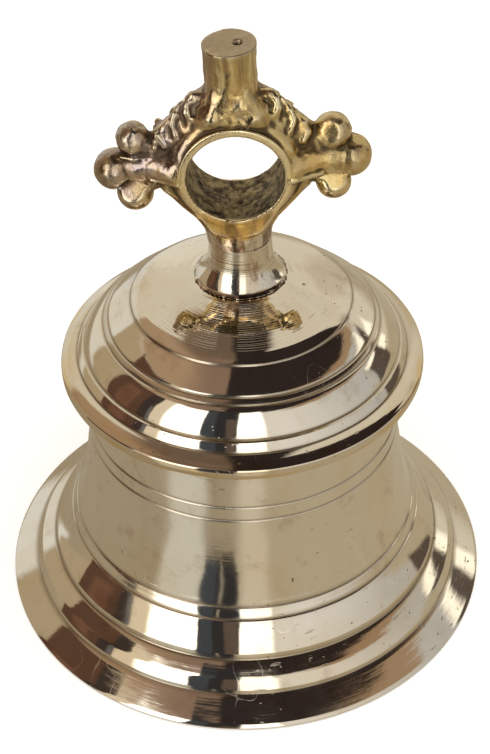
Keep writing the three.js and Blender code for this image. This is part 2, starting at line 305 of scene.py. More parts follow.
def bow(start, control, end, steps):
    """Points of a quadratic curve, without its first point."""
    start, control, end = map(np.array, (start, control, end))
    t = np.linspace(0, 1, steps + 1)[1:, None]
    return [tuple(p) for p in (1 - t) ** 2 * start + 2 * t * (1 - t) * control + t * t * end]


def path(*parts):
    """Points joined by lines, and by curves that are given as (control, end, steps)."""
    points = []
    for part in parts:
        points += bow(points[-1], *part) if len(part) == 3 else [part]
    return points


def arc(centre, radius, start, end, steps):
    """Points of a circular arc, angles in degrees from straight out."""
    angles = np.radians(np.linspace(start, end, steps + 1))
    return [(centre[0] + radius * math.cos(a), centre[1] + radius * math.sin(a)) for a in angles]


def round_corners(points, radius):
    """Rounds every corner of a closed outline that turns by more than 14 degrees."""
    least_turn = 14
    least_side = 0.17
    points = [np.array(p, float) for p in points]
    out = []
    for i, here in enumerate(points):
        before = points[i - 1] - here
        after = points[(i + 1) % len(points)] - here
        long_before, long_after = np.hypot(*before), np.hypot(*after)
        cosine = before @ after / (long_before * long_after)
        turn = 180 - math.degrees(math.acos(max(-1, min(1, cosine))))
        if turn < least_turn or min(long_before, long_after) < least_side:
            out.append(here)
            continue
        reach = min(radius * math.tan(math.radians(turn) / 2), long_before * 0.45, long_after * 0.45)
        start = here + before / long_before * reach
        end = here + after / long_after * reach
        out += path(start, (here, end, max(2, round(turn / least_turn))))
    return [tuple(p) for p in out]


# ---- Meshes ----

def make_object(node, ending, vertices_mm, faces, metal, body, sharp=34):
    """Makes the piece that stands for a CAD node and rides on the node's body."""
    material, slot = metal
    mesh = bpy.data.meshes.new(node + ending)
    mesh.from_pydata((np.asarray(vertices_mm) * MM).tolist(), [], faces)
    mesh.validate()
    mesh.polygons.foreach_set("use_smooth", [True] * len(mesh.polygons))
    mesh.set_sharp_from_angle(angle=math.radians(sharp))
    mesh.materials.append(material)
    piece = new_object(node + ending, mesh)
    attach(piece, body)
    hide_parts(node)
    return piece


def measured(section):
    """The section as an array, with how far along it each of its points lies."""
    section = np.array(section)
    return section, np.concatenate([[0], np.cumsum(np.hypot(*np.diff(section, axis=0).T))])


def store(piece, name, values):
    """Keeps one number per vertex for the material to read."""
    layer = piece.data.attributes.new(name, "FLOAT", "POINT")
    layer.data.foreach_set("value", np.asarray(values, np.float32))


def turn_mesh(section, segments):
    """Vertices and faces of a closed section turned about Z."""
    angles = np.linspace(0, 2 * math.pi, segments, endpoint=False)
    radius, height = np.array(section, float).T[:, :, None]
    vertices = np.stack([radius * np.cos(angles), radius * np.sin(angles), height + 0 * angles], -1)
    row = np.arange(len(section))[:, None] * segments
    next_row = np.roll(row, -1)
    column = np.arange(segments)
    next_column = np.roll(column, -1)
    faces = np.stack([row + column, row + next_column, next_row + next_column, next_row + column], -1)
    return vertices.reshape(-1, 3), faces.reshape(-1, 4).tolist()


# ---- Bell shell ----

LIP_RADIUS = 127
LIP_INNER_RADIUS = 118.5
FLARE_FOOT = 28.2
WAIST_TOP = 135.4
WALL = 5.2
WAIST_LINES = (41.7, 48, 98.6, 106.5)
GROOVE_DEPTH = 0.6
GROOVE_HALF = 0.65
DOME_SEAT = (23.4, 188.9)
CAP_EDGE = (49.3, 178.9)
DOME_INNER_HEIGHT = 181
BOLT_HOLE_RADIUS = 6.6


def waist_radius(z):
    return 87.3 - 0.0885 * z + 60 * math.exp(-z / 21.4)


def cap_steps():
    """The cap as the turning tool left it: flat treads that each end in a low riser."""
    draw = random.Random(5)
    mean = np.array([CAP_EDGE] + bow(CAP_EDGE, (37.4, 185.2), DOME_SEAT, 60))[::-1]
    radius = CAP_EDGE[0]
    points = []
    while radius > 25.4:
        following = radius - draw.uniform(0.65, 1.25)
        height = float(np.interp(following, mean[:, 0], mean[:, 1]))
        drop = (radius - following) * draw.uniform(0.085, 0.125)
        points += [(following + 0.02, height - drop), (following, height)]
        radius = following
    return points + [DOME_SEAT]


def shell_outside():
    """The outside from the lip's foot up to the seat of the neck."""
    lip = path((LIP_RADIUS - 0.4, 0), (LIP_RADIUS, 0.4), (LIP_RADIUS, 0.9), (LIP_RADIUS - 0.5, 1.5),
               ((120.7, 6.1), (114.8, 10.7), 10))
    sound_bow = path((113.7, 11.4), (113.3, 13.4), ((112.2, 15.3), (111.1, 17), 4),
                     ((110.6, 17.9), (110, 18.4), 5), ((106.9, 21.0), (103.6, 23.6), 6), (102.7, 24.0))
    step = [(102.4, 24.5), (102.1, 25.6), (101.6, 27.3)]
    waist = [(waist_radius(z), z) for z in np.arange(FLARE_FOOT, WAIST_TOP, 1.6)]
    for z in WAIST_LINES:
        waist = [p for p in waist if abs(p[1] - z) > 1.1]
        waist += [(waist_radius(edge), edge) for edge in (z - GROOVE_HALF, z + GROOVE_HALF)]
        waist.append((waist_radius(z) - GROOVE_DEPTH, z))
    waist.sort(key=lambda p: p[1])
    shoulder = path((82, 136.2), (89.2, 136.4), ((90.3, 136.6), (90.4, 137.6), 4),
                    ((90.6, 139.6), (90.3, 141.3), 6), ((90.1, 142.2), (89.0, 142.6), 4),
                    ((86.2, 144.5), (82.9, 145.5), 10), (82.0, 145.3), (82.1, 145.9),
                    ((81.0, 147.7), (79.5, 149.9), 8), (77.7, 150.1))
    dome = path((78, 150.9), ((74.7, 157.7), (69.2, 162.4), 14),
                (68.2, 162.5), (68.2, 163.3), (66.4, 164.8), (65.5, 164.9), (65.4, 165.8),
                ((61.2, 169.8), (54.5, 175), 12), (54.1, 175.8),
                ((52.6, 177.1), CAP_EDGE, 6), *cap_steps())
    return lip + sound_bow + step + waist + shoulder + dome


def shell_inside():
    """The inside from the bolt hole down to the lip."""
    return path((BOLT_HOLE_RADIUS, DOME_SEAT[1]), (BOLT_HOLE_RADIUS, DOME_INNER_HEIGHT),
                (19, DOME_INNER_HEIGHT), ((37, 177), (51, 168.6), 8), ((70, 157), (71.2, 134), 12),
                *[(waist_radius(z) - WALL, z) for z in np.arange(128, 26, -6)],
                (97.6, 21.5), (109.4, 8.2), (LIP_INNER_RADIUS, 0))


def hand_turned(vertices):
    """Lets the outside waver a little, as metal that was polished by hand does."""
    angle = np.arctan2(vertices[:, 1], vertices[:, 0])
    radius = np.hypot(vertices[:, 0], vertices[:, 1])
    z = vertices[:, 2]
    waves = ((0.055, 5, 9.0, 0.6), (0.045, 9, -14.0, 0), (0.035, 14, 6.5, 2.1), (0.02, 23, -5.0, 0))
    waver = sum(high * np.sin(count * angle + z / slant + start) for high, count, slant, start in waves)
    strength = np.clip(radius / 60, 0, 1) * np.clip(z / 4, 0, 1)
    grow = 1 + waver * strength / np.maximum(radius, 1)
    vertices[:, :2] *= grow[:, None]
    return vertices


def make_shell():
    section = round_corners(shell_outside() + shell_inside(), 0.35)
    segments = 224
    vertices, faces = turn_mesh(section, segments)
    section, length = measured(section)
    is_inside = np.zeros(len(section))
    top = int(np.argmin(np.hypot(*(section - (BOLT_HOLE_RADIUS, DOME_SEAT[1])).T)))
    is_inside[top:] = 1
    # the bottoms of the grooves and the inner corners of the steps, where the material paints shade
    steps = [(114.3, 11.3), (113.2, 12.2), (102.8, 24.0), (102.1, 24.8), (82.2, 136.2), (82.1, 145.5),
             (77.9, 150.4), (68.3, 162.9), (65.6, 165.2), (54.2, 175.5)]
    steps += [(waist_radius(z) - GROOVE_DEPTH, z) for z in WAIST_LINES]
    recess_shade = np.max([np.exp(-(np.hypot(*(section - step).T) / 0.8) ** 2) for step in steps], 0)
    shell = make_object("bell_shell", "_turned", hand_turned(vertices), faces, bell_material(), "bell")
    for name, row in (("along", length), ("inside", is_inside), ("recess_shade", recess_shade)):
        store(shell, name, np.repeat(row, segments))


def bell_material():
    metal, shader, place = new_metal("bell_metal")
    along = attribute(shader, "along")
    inside = attribute(shader, "inside")
    recess_shade = attribute(shader, "recess_shade")
    x, y, z = split(place)
    # a place drawn out round the bell, for marks that the polishing wheel smeared
    spin = join(x * 0.14, y * 0.14, along * 0.001)

    # the waist is left satin, the dome and the lip are polished
    waist = ease(z, 0.042, 0.05) * ease(z, 0.138, 0.132)
    upper = waist * ease(z, 0.07, 0.09)
    cloud = speckle(place, 22, 5, 0.6)
    roughness = (0.045 + waist * 0.035 + upper * 0.07 + ease(cloud, 0.48, 0.72) * 0.06 + inside * 0.3
                 + recess_shade * 0.2)

    clean = ease(speckle(place, 9, 5, 0.6, 0.6), 0.44, 0.72)
    tone = blend(clean, (0.88, 0.81, 0.69), (0.82, 0.70, 0.52))
    drawn = speckle(join(x, y, z * 0.1), 55, 5, 0.6)
    tone = blend(ease(drawn, 0.5, 0.78, 0.0, 0.3), tone, (0.66, 0.53, 0.37))
    # smoked spots, and dark pits and dashes drawn out by the wheel
    stain = ease(speckle(place, 48, 6, 0.68), 0.54, 0.7) * 0.42
    tone = blend(stain, tone, (0.5, 0.39, 0.27))
    worn = ease(speckle(place, 14, 3), 0.5, 0.62)
    dashes = speckle(spin, 520, 3, 0.6)
    dash = ease(dashes, 0.665, 0.71) * worn
    pit = ease(speckle(place, 330, 2, 0.5), 0.7, 0.735) * worn
    dark_mark = calc("MAXIMUM", dash * 0.65, pit)
    tone = blend(dark_mark * 0.8, tone, (0.15, 0.1, 0.07))
    # hair lines left by handling
    slanted = {"Vector": place, "Rotation": (0.5, 0.35, 0.0), "Scale": (1.0, 1.0, 0.22)}
    slant = put(place.tree, "Mapping", slanted)
    contour = calc("ABSOLUTE", speckle(slant, 46, 1, 0.4) - 0.5)
    hair = ease(contour, 0.0035, 0.001) * ease(speckle(place, 31, 3), 0.52, 0.6)
    tone = blend(hair * 0.45, tone, (0.95, 0.93, 0.88))
    # the rim keeps a golden skin in places
    rim = ease(z, 0.135, 0.1365) * ease(z, 0.146, 0.142)
    gilt = rim * ease(speckle(spin, 230, 4, 0.6), 0.46, 0.6)
    tone = blend(rim * 0.35, tone, (0.6, 0.47, 0.3))
    tone = blend(gilt * 0.7, tone, (0.76, 0.55, 0.25))
    # painted shade: the grooves and the inner corners of the steps are darkened
    tone = blend(recess_shade * 0.72, tone, (0.2, 0.13, 0.06))
    bare = blend(ease(cloud, 0.4, 0.62), (0.4, 0.32, 0.2), (0.24, 0.17, 0.1))
    tone = blend(inside, tone, bare)
    roughness = roughness + dark_mark * 0.25 + hair * 0.15

    # turning marks follow the section's length, so they run round at any slope
    turned = relief(bands(along, 2.6, 4.0) * ease(waist, 0.0, 1.0, 0.2, 0.55), 0.006)
    turned = relief(bands(along, 0.5, 2.0), 0.01, turned)
    turned = relief(speckle(place, 55, 3), 0.055, turned)
    turned = relief(dashes, 0.01, turned)
    # chatter of the tool, in patches on the waist
    patch = waist * ease(speckle(place, 26, 2), 0.46, 0.6)
    turned = relief(speckle(join(x, y, z * 6.0), 60, 2) * patch, 0.06, turned)
    turned = relief(speckle(place, 300, 3) * inside, 0.25, turned)
    turned = relief(1.0 - dark_mark, 0.05, turned)
    finish(shader, tone, roughness, turned)
    return metal


# ---- Neck ----

NECK_TOP = 211.7


def make_neck():
    foot = DOME_SEAT[1] + GAP
    section = path((BOLT_HOLE_RADIUS, foot), (21.8, foot), (22.2, foot + 0.6),
                   ((17.0, 194.2), (15.6, 201.5), 22), ((15.2, 205), (15.1, NECK_TOP), 6),
                   (BOLT_HOLE_RADIUS, NECK_TOP))
    section = round_corners(section, 0.3)
    segments = 240
    vertices, faces = turn_mesh(section, segments)
    section, length = measured(section)
    # a ragged burr stands out round the foot
    draw = np.random.default_rng(4)
    chips = draw.uniform(0, 1, segments) ** 3 * 0.7
    chips = chips + 0.5 * (np.roll(chips, 1) + np.roll(chips, -1))
    low = np.clip((foot + 1.4 - vertices[:, 2]) / 1.0, 0, 1) * (np.hypot(*vertices[:, :2].T) > 20)
    vertices[:, :2] *= 1 + (low * np.tile(chips, len(section)) / 23)[:, None]
    neck = make_object("neck_collar", "_turned", vertices, faces, neck_material(), "bell")
    store(neck, "along", np.repeat(length, segments))


def neck_material():
    metal, shader, place = new_metal("neck_metal")
    x, y, z = split(place)
    along = attribute(shader, "along")
    rings = bands(along, 1.3, 3.0)
    upper = ease(z, 0.193, 0.203)
    foot = ease(z, 0.1915, 0.1897)
    streak = join(x, y, z * 0.35)
    tone = blend(ease(speckle(streak, 70, 4), 0.42, 0.68), (0.84, 0.77, 0.64), (0.66, 0.53, 0.36))
    blot = ease(speckle(streak, 120, 5, 0.65), 0.53, 0.64, 0.0, 0.75)
    tone = blend(blot, tone, (0.3, 0.2, 0.13))
    lines = ease(rings, 0.52, 0.62) * upper * ease(speckle(place, 95, 3), 0.44, 0.56)
    tone = blend(lines * 0.7, tone, (0.3, 0.2, 0.12))
    grime = foot * ease(speckle(place, 210, 5, 0.7), 0.38, 0.56)
    tone = blend(grime, tone, (0.14, 0.09, 0.05))
    normal = relief(speckle(place, 85, 4, 0.5), 0.16)
    normal = relief(rings * upper, 0.06, normal)
    normal = relief(speckle(streak, 330, 4, 0.6), 0.035, normal)
    finish(shader, tone, 0.09 + upper * 0.08 + blot * 0.18, normal)
    return metal


# ---- Crown ----

CROWN_LEAN = math.radians(1.7)
CROWN_OFFSET = -0.4
RING_HEIGHT = 41.4             # hole centre above the crown's foot
HOLE_RADIUS = 22.3
BOSS_RADIUS = 26.0
BOSS_HALF = 16.5
POST_TOP = 60.9                # above the hole's centre, as all heights in the crown
PIT = (3.8, 0.0)
BOLT_TIP = 224
BOLT_RADIUS = 6


def smooth_least(a, b, soft):
    if soft <= 0:
        return np.minimum(a, b)
    share = np.clip(0.5 + 0.5 * (b - a) / soft, 0, 1)
    return b + (a - b) * share - soft * share * (1 - share)


class Clay:
    """Signed distances on a grid: shapes are pressed on to it and cut out of it.

    A shape is a distance function of x, y and z with the lowest and highest corner of its box.
    """

    def __init__(self, low, high, step):
        self.low = np.array(low, float)
        self.step = step
        counts = np.ceil((np.array(high) - self.low) / step).astype(int) + 1
        self.axes = [self.low[i] + step * np.arange(counts[i]) for i in range(3)]
        self.field = np.full(counts, 30.0)

    def add(self, shape, soft=0.0, sign=1):
        """Joins a shape to the body over a soft edge. With sign -1 it is cut out instead."""
        distance, low, high = shape
        reach = soft + 2 * self.step
        near = tuple(slice(max(0, int(np.searchsorted(axis, a - reach))),
                           int(np.searchsorted(axis, b + reach)))
                     for axis, a, b in zip(self.axes, low, high))
        places = np.ix_(*(axis[part] for axis, part in zip(self.axes, near)))
        self.field[near] = sign * smooth_least(sign * self.field[near], distance(*places), soft)

    def cut(self, shape, soft=0.0):
        self.add(shape, soft, -1)

    def roughen(self, amount, cell, seed, where):
        """Presses soft random dents of a given size into the parts where the weight is not 0."""
        draw = np.random.default_rng(seed)
        weights = []
        for axis in self.axes:
            place = (axis - axis[0]) / cell
            knots = np.arange(int(place[-1]) + 3)
            share = np.clip(1 - np.abs(place[:, None] - knots), 0, 1)
            weights.append(share * share * (3 - 2 * share))
        coarse = draw.uniform(-1, 1, [share.shape[1] for share in weights])
        dents = np.einsum("ia,abc->ibc", weights[0], coarse)
        dents = np.einsum("jb,ibc->ijc", weights[1], dents)
        dents = np.einsum("kc,ijc->ijk", weights[2], dents)
        self.field += amount * dents * where(*np.ix_(*self.axes))

    def surface(self):
        """Vertices and four-sided faces of the zero level, one vertex in each crossed cell."""
        field = self.field
        inside = field < 0
        cells = [n - 1 for n in field.shape]
        corners = np.array([(i, j, k) for i in (0, 1) for j in (0, 1) for k in (0, 1)])
        units = np.eye(3, dtype=int)
        filled = sum(inside[i:i + cells[0], j:j + cells[1], k:k + cells[2]].astype(np.int8)
                     for i, j, k in corners)
        crossed = (filled > 0) & (filled < len(corners))
        ids = np.argwhere(crossed)
        number = np.full(cells, -1)
        number[crossed] = np.arange(len(ids))
        total = np.zeros((len(ids), 3))
        hits = np.zeros(len(ids))
        for corner, unit in [(c, u) for c in corners for u in units if not c @ u]:
            start = ids + corner
            a = field[tuple(start.T)]
            b = field[tuple((start + unit).T)]
            cross = (a < 0) != (b < 0)
            share = np.where(cross, a / np.where(cross, a - b, 1), 0)
            total[cross] += (corner + share[:, None] * unit)[cross]
            hits += cross
        vertices = (ids + total / hits[:, None]) * self.step + self.low
        faces = []
        for axis, unit in enumerate(units):
            one, two = np.delete(units, axis, 0)
            a = inside[tuple(slice(0, -1) if u else slice(1, -1) for u in unit)]
            b = inside[tuple(slice(1, None) if u else slice(1, -1) for u in unit)]
            edge = np.argwhere(a != b) + 1 - unit
            quad = np.stack([number[tuple((edge - s).T)] for s in (0 * one, one, one + two, two)], 1)
            inward = a[a != b] == (axis == 1)
            quad[inward] = quad[inward][:, ::-1]
            faces.append(quad)
        return vertices, np.concatenate(faces)


def rounded(side, end, edge):
    """Distance to a body from those to its side and to its end, each already moved in by edge."""
    return (np.hypot(np.maximum(side, 0), np.maximum(end, 0))
            + np.minimum(np.maximum(side, end), 0) - edge)


def dot(place, origin, direction):
    """How far a place lies from an origin along a direction."""
    return sum((p - o) * d for p, o, d in zip(place, origin, direction))


def ball(x0, y0, z0, radius, flat=1.0):
    """A ball, squashed along Y by flat."""
    def distance(x, y, z):
        return np.sqrt((x - x0) ** 2 + ((y - y0) / flat) ** 2 + (z - z0) ** 2) - radius
    centre = np.array((x0, y0, z0))
    return distance, centre - radius, centre + radius


def rod(start, end, start_radius, end_radius):
    """A round rod that tapers, with round ends."""
    start, end = np.array(start, float), np.array(end, float)
    run = end - start
    length = run @ run

    def distance(*place):
        share = np.clip(dot(place, start, run) / length, 0, 1)
        gap = np.sqrt(sum((p - s - share * r) ** 2 for p, s, r in zip(place, start, run)))
        return gap - (start_radius + (end_radius - start_radius) * share)
    reach = max(start_radius, end_radius)
    return distance, np.minimum(start, end) - reach, np.maximum(start, end) + reach


def leaf(clay, points, radii, soft):
    """A raised vein or lobe, as a chain of tapered rods."""
    for (a, b), (ra, rb) in zip(zip(points, points[1:]), zip(radii, radii[1:])):
        clay.add(rod(a, b, ra, rb), soft)


def drum(face_radius, middle_radius, half, edge, low_z=-60, high_z=60, swell=0.0):
    """A round body along Y, wider at its middle than at its faces, between two heights.

    Its faces stand out further by swell towards its left and right sides.
    """
    def distance(x, y, z):
        depth = np.abs(y) - swell * np.clip(np.abs(x) / 25, 0, 1) ** 2
        side = np.hypot(x, z) - (middle_radius + (face_radius - middle_radius) * depth / half)
        slope = math.cos(math.atan((middle_radius - face_radius) / half))
        side = side * slope + edge
        end = depth - half + edge
        return np.maximum(np.maximum(rounded(side, end, edge), z - high_z), low_z - z)
    reach = max(face_radius, middle_radius)
    deep = half + swell
    return distance, (-reach, -deep, max(-reach, low_z)), (reach, deep, min(reach, high_z))


def prism(outline, near, far, edge):
    """A plate across the crown with an outline in X and Z, from y = near to y = far."""
    points = np.array(outline, float)

    def distance(x, y, z):
        x, z = np.broadcast_arrays(x[:, 0, :], z[:, 0, :])
        nearest = np.full(x.shape, 1e9)
        within = np.zeros(x.shape, bool)
        for a, b in zip(points, np.roll(points, -1, axis=0)):
            run = b - a
            share = np.clip(((x - a[0]) * run[0] + (z - a[1]) * run[1]) / (run @ run), 0, 1)
            gap = (x - a[0] - share * run[0]) ** 2 + (z - a[1] - share * run[1]) ** 2
            nearest = np.minimum(nearest, gap)
            if a[1] != b[1]:
                crosses = (a[1] <= z) != (b[1] <= z)
                within ^= crosses & (x < (z - a[1]) / (b[1] - a[1]) * run[0] + a[0])
        side = (np.sqrt(nearest) * np.where(within, -1, 1))[:, None, :] + edge
        end = np.abs(y - (near + far) / 2) - (far - near) / 2 + edge
        return rounded(side, end, edge)
    low, high = points.min(0), points.max(0)
    return distance, (low[0], near, low[1]), (high[0], far, high[1])


def spindle(profile, x0=0.0):
    """A body turned about an upright axis through (x0, 0), from (height, radius) pairs."""
    heights, radii = np.array(profile, float).T

    def distance(x, y, z):
        side = np.hypot(x - x0, y) - np.interp(z, heights, radii)
        return np.maximum(side, np.maximum(z - heights[-1], heights[0] - z))
    reach = radii.max()
    return distance, (x0 - reach, -reach, heights[0]), (x0 + reach, reach, heights[-1])


def slab(point, normal, size):
    """All that lies beyond a plane through a point, within size of that point."""
    point, normal = np.array(point, float), np.array(normal, float)
    normal = normal / np.linalg.norm(normal)

    def distance(*place):
        near = np.sqrt(sum((p - q) ** 2 for p, q in zip(place, point))) - size
        return np.maximum(-dot(place, point, normal), near)
    return distance, point - size, point + size


def both_ways(points):
    """A half outline from foot to top, and its mirror image back down."""
    return points + [(-x, z) for x, z in points[::-1]]


# Trefoil balls: x, z and radius
LEFT_BALLS = [(-45.9, 13.9, 7.9), (-55.6, -2.0, 9.6), (-47.0, -15.0, 8.6)]
RIGHT_BALLS = [(44.9, 13.8, 8.6), (52.8, 0.3, 9.9), (45.0, -13.6, 8.3)]


def model_crown():
    clay = Clay((-68, -19, -44), (66, 19, 63), 0.595)
    # ring: a broad band above, a smooth cone below down to the neck
    clay.add(prism(both_ways([(14, -42), (15.6, -35), (19.8, -28.4), (25.6, -22), (31, -15.5),
                              (34, -12.5), (34, 12), (29.6, 21), (24.2, 27.4), (20.6, 32),
                              (11.5, 35.6)]), -7, 7, 3.5))
    clay.add(drum(27.4, 35.6, 13.0, 3.4, low_z=-3, swell=3.0), 1.5)
    clay.add(drum(25.6, 34.0, 16.2, 1.0, high_z=-2.5), 1.5)
    clay.add(spindle([(-43, 15.2), (-37, 15.6), (-31, 16.5), (-22, 17.5)]), 2.0)
    model_arms(clay)
    model_post(clay)
    model_leaves(clay)

    # hand work: dents all over the upper part, smoother below
    def hammered(x, y, z):
        upper = np.clip((z + 6) / 8, 0, 1) * np.clip((52 - z) / 10, 0, 1)
        return 0.25 + 0.75 * upper

    def on_post(x, y, z):
        return np.clip((z - 36) / 6, 0, 1) * np.clip((59 - z) / 3, 0, 1)
    clay.roughen(0.30, 4.4, 11, hammered)
    clay.roughen(0.15, 1.7, 12, hammered)
    clay.roughen(0.16, 3.2, 14, on_post)

    # the boss round the hole is dressed flat after casting, so it has no dents
    clay.add(drum(BOSS_RADIUS, BOSS_RADIUS, BOSS_HALF, 0.5))
    clay.add(prism(both_ways([(0.01, -33), (6, -32), (10.8, -30.3), (13.6, -27), (19.4, -17)]),
                   -BOSS_HALF, BOSS_HALF, 0.5), 0.8)
    for side in (-1, 1):
        wire = 0.5 if side < 0 else 1.2
        for y in (-1, 1):
            clay.add(rod((side * 25.5, y * 16.0, -2.6), (side * 39, y * 10.2, -2.4), wire, wire), 1.0)
    file_facets(clay)

    def pocked(x, y, z):
        return np.exp(-((np.hypot(x, z) - HOLE_RADIUS) / 1.2) ** 2)
    clay.cut(drum(HOLE_RADIUS, HOLE_RADIUS, 25, 0.1))
    clay.roughen(0.40, 1.7, 13, lambda x, y, z: pocked(x, y, z) * (np.abs(y) < BOSS_HALF - 1.2))
    clay.cut(spindle([(-46, BOLT_RADIUS + GAP), (BOLT_TIP + GAP - 253.4, BOLT_RADIUS + GAP)], 0.8))
    return clay


def model_arms(clay):
    for side, balls in ((-1, LEFT_BALLS), (1, RIGHT_BALLS)):
        clay.add(rod((side * 29, 0, 3), (side * 44, 0, 0.5), 10.5, 7.2), 3.0)
        for y in (-1, 1):
            clay.add(rod((side * 27.5, y * 9.2, 1.5), (side * 40, y * 2.5, 2.5), 6.6, 7.0), 3.0)
        clay.add(ball(side * 44.6, 0, -0.2, 9.6 if side < 0 else 10.8, 0.96), 2.0)
        clay.add(rod((side * 34, 0, -6), (side * 45, 0, -11), 5.5, 5.5), 2.5)
        clay.add(rod((side * 33, 0, 10), (side * 43, 0, 9.5), 6.8, 6.6), 2.5)
        for x, z, radius in balls:
            clay.add(ball(x, 0, z, radius), 1.3)
    # ribs of the left collar and the ridge between the left balls
    for y in (-1, 1):
        for x, z in ((-34.2, 18.4), (-35.0, 15.4), (-35.6, 12.4)):
            clay.add(ball(x, y * 5.8, z, 1.9), 0.7)
        leaf(clay, [(-52, y * 5.4, 7.6), (-46, y * 7.0, 7.0), (-38, y * 7.2, 7.4)], (0.6, 1.0, 1.3), 0.8)
        clay.add(rod((-37.5, y * 6.0, 2.0), (-37.0, y * 6.5, -5), 2.0, 1.6), 1.5)
        clay.add(ball(37.5, y * 6.5, -1.5, 2.2), 1.2)
        clay.add(ball(38.4, y * 6.8, 3.6, 1.8), 1.0)
    for y in (-1, 1):
        clay.cut(rod((-38.8, y * 9.5, 24), (-38.8, y * 8.5, 10), 1.5, 1.1), 1.0)


def model_post(clay):
    clay.add(spindle([(18, 15.0), (27, 14.6), (31, 13.8), (36, 12.6), (41, 12.0), (54, 11.85),
                      (58, 12.0), (60.2, 12.3), (POST_TOP, 12.2)]), 3.6)
    # the post's foot spreads down the front and the back of the ring
    for y in (-1, 1):
        for x in (-1, 1):
            clay.add(rod((x * 3.0, y * 4.8, 42), (x * 8.6, y * 7.4, 28), 5.2, 7.2), 3.0)
    clay.cut(slab((0, 0, POST_TOP - 0.3), (-0.035, -0.02, 1), 22))
    clay.cut(rod((PIT[0], PIT[1], POST_TOP + 1), (PIT[0], PIT[1], POST_TOP - 3.2), 3.0, 1.0), 0.5)


# Lobes of the scrolls on one shoulder of the ring: x, y and z of the left front ones, and radii
SCROLLS = [
    ([(-13.4, -2.2, 35.6), (-17.0, -2.2, 35.4), (-20.2, -3.4, 32.8), (-20.4, -5.2, 29.8),
      (-18.0, -7.2, 27.6)], (2.4, 2.5, 2.6, 2.4, 1.5)),
    ([(-22.6, -2.2, 30.8), (-25.6, -3.6, 27.0), (-27.2, -5.6, 23.2), (-26.0, -8.0, 19.8)],
     (2.4, 2.6, 2.6, 1.6)),
    ([(-28.2, -1.8, 23.2), (-31.2, -3.4, 20.0), (-32.8, -5.4, 16.6), (-31.4, -7.6, 13.8)],
     (2.4, 2.5, 2.4, 1.5)),
]
SCROLL_GAPS = [
    [(-15.2, -6.6, 34.6), (-17.4, -7.0, 32.8), (-17.2, -8.2, 30.2)],
    [(-21.4, -3.4, 34.4), (-23.4, -6.0, 30.2), (-22.0, -9.4, 25.6)],
    [(-24.6, -7.6, 27.6), (-25.2, -9.2, 24.0), (-23.8, -10.6, 21.0)],
    [(-27.0, -3.2, 28.2), (-29.4, -6.2, 24.0), (-28.6, -9.2, 18.8)],
]
BACK_SHIFT = np.array((0, 0, -3.2))


def model_leaves(clay):
    """Cast scrolls between the post and the arms: crisp on the left front, worn elsewhere."""
    for side in (1, -1):
        clay.add(rod((side * -12, 0, 32.4), (side * -32.2, 0, 16.0), 4.6, 4.3), 2.5)
        for front in (1, -1):
            turn = np.array((side, front, 1))
            worn = side + front < 2
            shift = 0 if front > 0 else BACK_SHIFT
            clay.add(rod(np.array((-13.5, -4.2, 29.4)) * turn, np.array((-29.5, -3.6, 14.6)) * turn,
                         5.4, 4.6), 2.5)
            for points, radii in SCROLLS:
                radii = np.array(radii) * (0.82 if worn else 1)
                leaf(clay, (np.array(points) + shift) * turn, radii, 2.2 if worn else 1.0)
            for start, middle, end in SCROLL_GAPS:
                start, middle, end = ((np.array(p) + shift) * turn for p in (start, middle, end))
                width = 1.2 if worn else 1.6
                clay.cut(rod(start, middle, width, width), 1.2 if worn else 0.6)
                clay.cut(rod(middle, end, width, width), 1.2 if worn else 0.6)


def file_facets(clay):
    """Flats filed on the fronts and backs of three balls."""
    flats = [(LEFT_BALLS[2], (-0.6, 5.0, 4.4), (-0.16, 0.74, 0.62), 7.5, 0.7),
             (RIGHT_BALLS[2], (0.2, 5.6, 3.8), (0.05, 0.80, 0.58), 7.5, 0.7),
             (RIGHT_BALLS[0], (-1.8, 6.6, 2.6), (-0.16, 0.90, 0.36), 7.0, 1.2)]
    for y in (-1, 1):
        turn = np.array((1, y, 1))
        for (x, z, _), shift, facing, size, soft in flats:
            centre = np.array((x, 0, z))
            clay.cut(slab(centre + np.array(shift) * turn, np.array(facing) * turn, size), soft)


def lean(points):
    """From the crown's own frame, about the hole's centre, to the bell's."""
    x, y, z = points.T
    z = z + RING_HEIGHT + GAP
    cosine, sine = math.cos(CROWN_LEAN), math.sin(CROWN_LEAN)
    return np.stack([x * cosine - z * sine + CROWN_OFFSET, y, x * sine + z * cosine + NECK_TOP], 1)


def hollowness(vertices, faces):
    """How far each vertex lies in a hollow: its depth below the mean of its neighbours, in mm."""
    edges = np.concatenate([faces[:, [i, (i + 1) % 4]] for i in range(4)])
    edges = np.concatenate([edges, edges[:, ::-1]])
    count = np.bincount(edges[:, 0], minlength=len(vertices))

    def mean_near(values):
        return np.stack([np.bincount(edges[:, 0], values[edges[:, 1], i], len(vertices))
                         for i in range(values.shape[1])], 1) / count[:, None]
    corner = vertices[faces]
    face_normal = np.cross(corner[:, 2] - corner[:, 0], corner[:, 3] - corner[:, 1])
    normal = np.zeros_like(vertices)
    for i in range(4):
        np.add.at(normal, faces[:, i], face_normal)
    normal /= np.maximum(np.linalg.norm(normal, axis=1), 1e-9)[:, None]
    smooth = vertices
    for _ in range(14):
        smooth = mean_near(smooth)
    depth = ((smooth - vertices) * normal).sum(1)[:, None]
    for _ in range(2):
        depth = mean_near(depth)
    return depth[:, 0]


